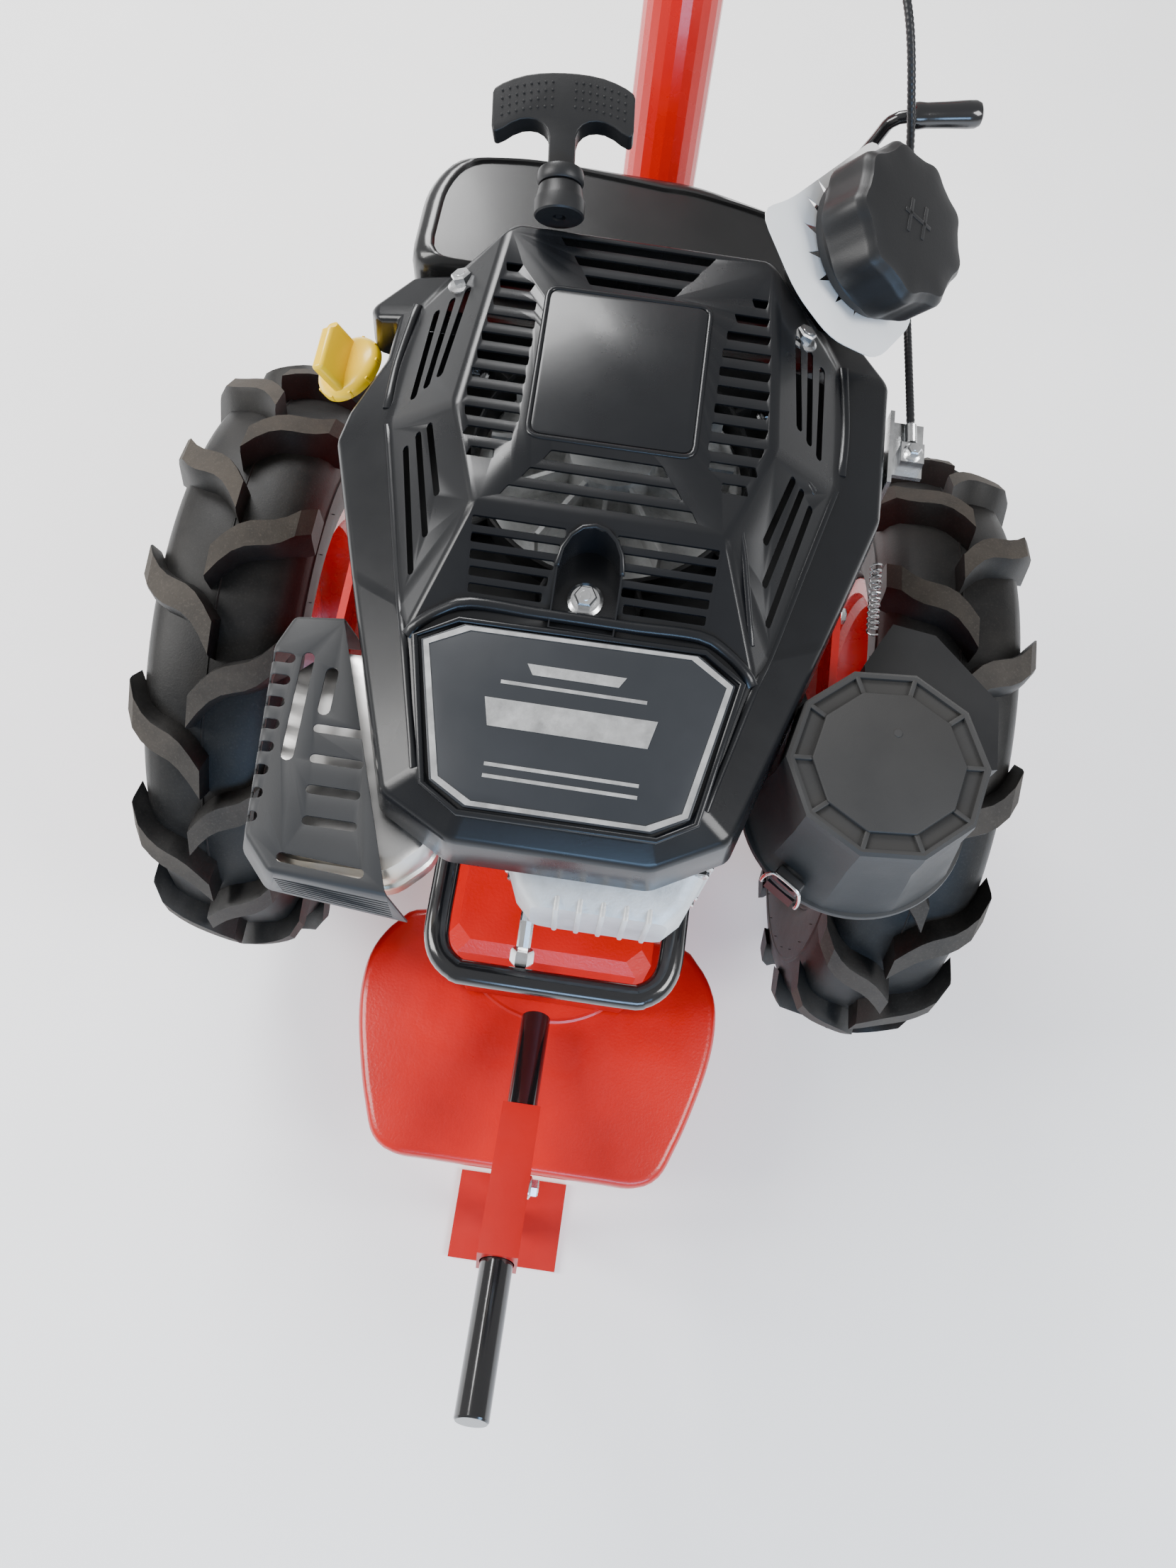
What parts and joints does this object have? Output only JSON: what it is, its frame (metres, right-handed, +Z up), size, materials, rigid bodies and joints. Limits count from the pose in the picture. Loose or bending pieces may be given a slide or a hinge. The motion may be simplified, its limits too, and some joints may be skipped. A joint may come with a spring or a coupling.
{
  "type": "two-wheel walking tractor",
  "caption": "Two-wheel walking tractor with a vertical-shaft engine, lugged tyres, front weight, sliding front prop, rear hitch and swivelling handlebar.",
  "frame": {"origin": "on the ground under the middle of the object's box", "axes": "+Y runs from the front weight back to the operator's grips, +X to the machine's side with the air cleaner, +Z up"},
  "size_m": [0.71, 1.8096, 1.0244],
  "materials": {
    "red_paint": "glossy red enamel over steel and cast iron, slight orange peel",
    "black_paint": "semi-gloss black paint",
    "black_plastic": "satin moulded black plastic with fine grain",
    "tyre_rubber": "matte tread rubber, dusty on the lug tops",
    "grip_rubber": "matte soft rubber",
    "zinc": "bright zinc plating",
    "steel": "machined steel",
    "cast_aluminium": "light grey sand-cast aluminium",
    "yellow_plastic": "glossy yellow moulding",
    "decal": "satin sticker with a silver edge, no lettering"
  },
  "bodies": {
    "root": {"gearbox_left": "red_paint", "gearbox_right": "red_paint", "bell_housing": "red_paint", "weight_bracket": "red_paint", "front_weight": "red_paint", "front_bar": "black_paint", "column_bracket": "red_paint", "handlebar_column": "red_paint", "hitch": "red_paint", "shroud": "black_plastic", "decal_plate": "decal", "crankcase": "cast_aluminium", "cylinder": "black_paint", "valve_cover": "cast_aluminium", "rope_guide": "black_plastic", "muffler": "zinc", "muffler_guard": "black_paint", "air_cleaner_cover": "black_plastic", "air_cleaner_base": "black_plastic", "carburettor": "cast_aluminium", "fuel_tank": "black_plastic", "tank_collar": "black_plastic", "oil_filler_tube": "black_plastic", "bumper": "black_paint", "oil_drain_tube": "zinc", "control_bracket": "zinc", "throttle_cable_engine": "grip_rubber"},
    "wheels": {"tyre_left": "tyre_rubber", "rim_left": "red_paint", "hub_left": "cast_aluminium", "tyre_right": "tyre_rubber", "rim_right": "red_paint", "hub_right": "cast_aluminium", "axle_shaft": "steel", "final_gear": "steel"},
    "pinion": {"final_pinion": "steel"},
    "crank": {"crankshaft": "steel", "flywheel_fan": "cast_aluminium", "clutch_drum": "steel"},
    "recoil": {"recoil_handle": "black_plastic", "starter_rope": "grip_rubber"},
    "fuel_cap": {"fuel_cap": "black_plastic"},
    "oil_cap": {"oil_cap": "yellow_plastic"},
    "latch": {"air_cleaner_latch": "zinc"},
    "prop": {"prop_sleeve": "red_paint", "prop_leg": "red_paint"},
    "gear_lever": {"gear_lever": "black_paint", "gear_lever_grip": "grip_rubber"},
    "hitch_pin": {"hitch_pin": "zinc"},
    "head": {"swivel_head": "red_paint", "tilt_knob": "black_plastic", "throttle_cable_loop": "grip_rubber"},
    "handlebar": {"handlebar": "red_paint", "grip_left": "grip_rubber", "grip_right": "grip_rubber", "clutch_lever_mount": "black_plastic", "throttle_housing": "black_plastic", "throttle_cable_bar": "grip_rubber"},
    "clutch_lever": {"clutch_lever": "black_paint"},
    "throttle_lever": {"throttle_lever": "black_plastic"}
  },
  "joints": [
    {"name": "axle_spin", "type": "hinge", "parent": "root", "child": "wheels", "pos_m": [0, -0.26132, 0.285], "axis": [1, 0, 0], "continuous": true},
    {"name": "pinion_spin", "type": "hinge", "parent": "root", "child": "pinion", "pos_m": [0, -0.26132, 0.3848], "axis": [1, 0, 0], "continuous": true},
    {"name": "crank_spin", "type": "hinge", "parent": "root", "child": "crank", "pos_m": [0, -0.26132, 0.6], "axis": [0, 0, 1], "continuous": true},
    {"name": "recoil_pull", "type": "slide", "parent": "root", "child": "recoil", "axis": [-0.0998, 0.9279, 0.3592], "range_m": [0, 0.45], "stiffness_N_per_m": 20, "springref_m": -0.3, "deforming": ["starter_rope"]},
    {"name": "fuel_cap_twist", "type": "hinge", "parent": "root", "child": "fuel_cap", "pos_m": [0.1755, -0.10632, 0.787], "axis": [0.592, -0.154, 0.7911], "range_deg": [0, 90]},
    {"name": "oil_cap_twist", "type": "hinge", "parent": "root", "child": "oil_cap", "pos_m": [-0.196, -0.19132, 0.656], "axis": [-0.5, 0, 0.866], "range_deg": [0, 270]},
    {"name": "air_cleaner_latch_swing", "type": "hinge", "parent": "root", "child": "latch", "pos_m": [0.15722, -0.51474, 0.597], "axis": [0.829, -0.5592, 0], "range_deg": [0, 110]},
    {"name": "prop_slide", "type": "slide", "parent": "root", "child": "prop", "axis": [0, -0.9205, 0.3908], "range_m": [0, 0.12]},
    {"name": "gear_shift", "type": "hinge", "parent": "root", "child": "gear_lever", "pos_m": [0.075, -0.08632, 0.423], "axis": [1, 0, 0], "range_deg": [-12, 4]},
    {"name": "hitch_pin_lift", "type": "slide", "parent": "root", "child": "hitch_pin", "axis": [0, 0, 1], "range_m": [0, 0.12]},
    {"name": "handlebar_swivel", "type": "hinge", "parent": "root", "child": "head", "pos_m": [0, 0.13871, 0.79278], "axis": [0, 0.3712, 0.9285], "range_deg": [-30, 30]},
    {"name": "handlebar_tilt", "type": "hinge", "parent": "head", "child": "handlebar", "pos_m": [0, 0.17368, 0.858], "axis": [1, 0, 0], "range_deg": [-12, 20]},
    {"name": "clutch_squeeze", "type": "hinge", "parent": "handlebar", "child": "clutch_lever", "pos_m": [-0.285, 0.73318, 0.957], "axis": [1, 0, 0], "range_deg": [0, 7], "stiffness_Nm_per_rad": 3, "springref_deg": -11.46},
    {"name": "throttle_turn", "type": "hinge", "parent": "handlebar", "child": "throttle_lever", "pos_m": [0.285, 0.70368, 1.02], "axis": [0, 0, 1], "range_deg": [-35, 35]}
  ],
  "couplings": [
    {"joint": "pinion_spin", "follows": "axle_spin", "ratio": -2.6667}
  ]
}
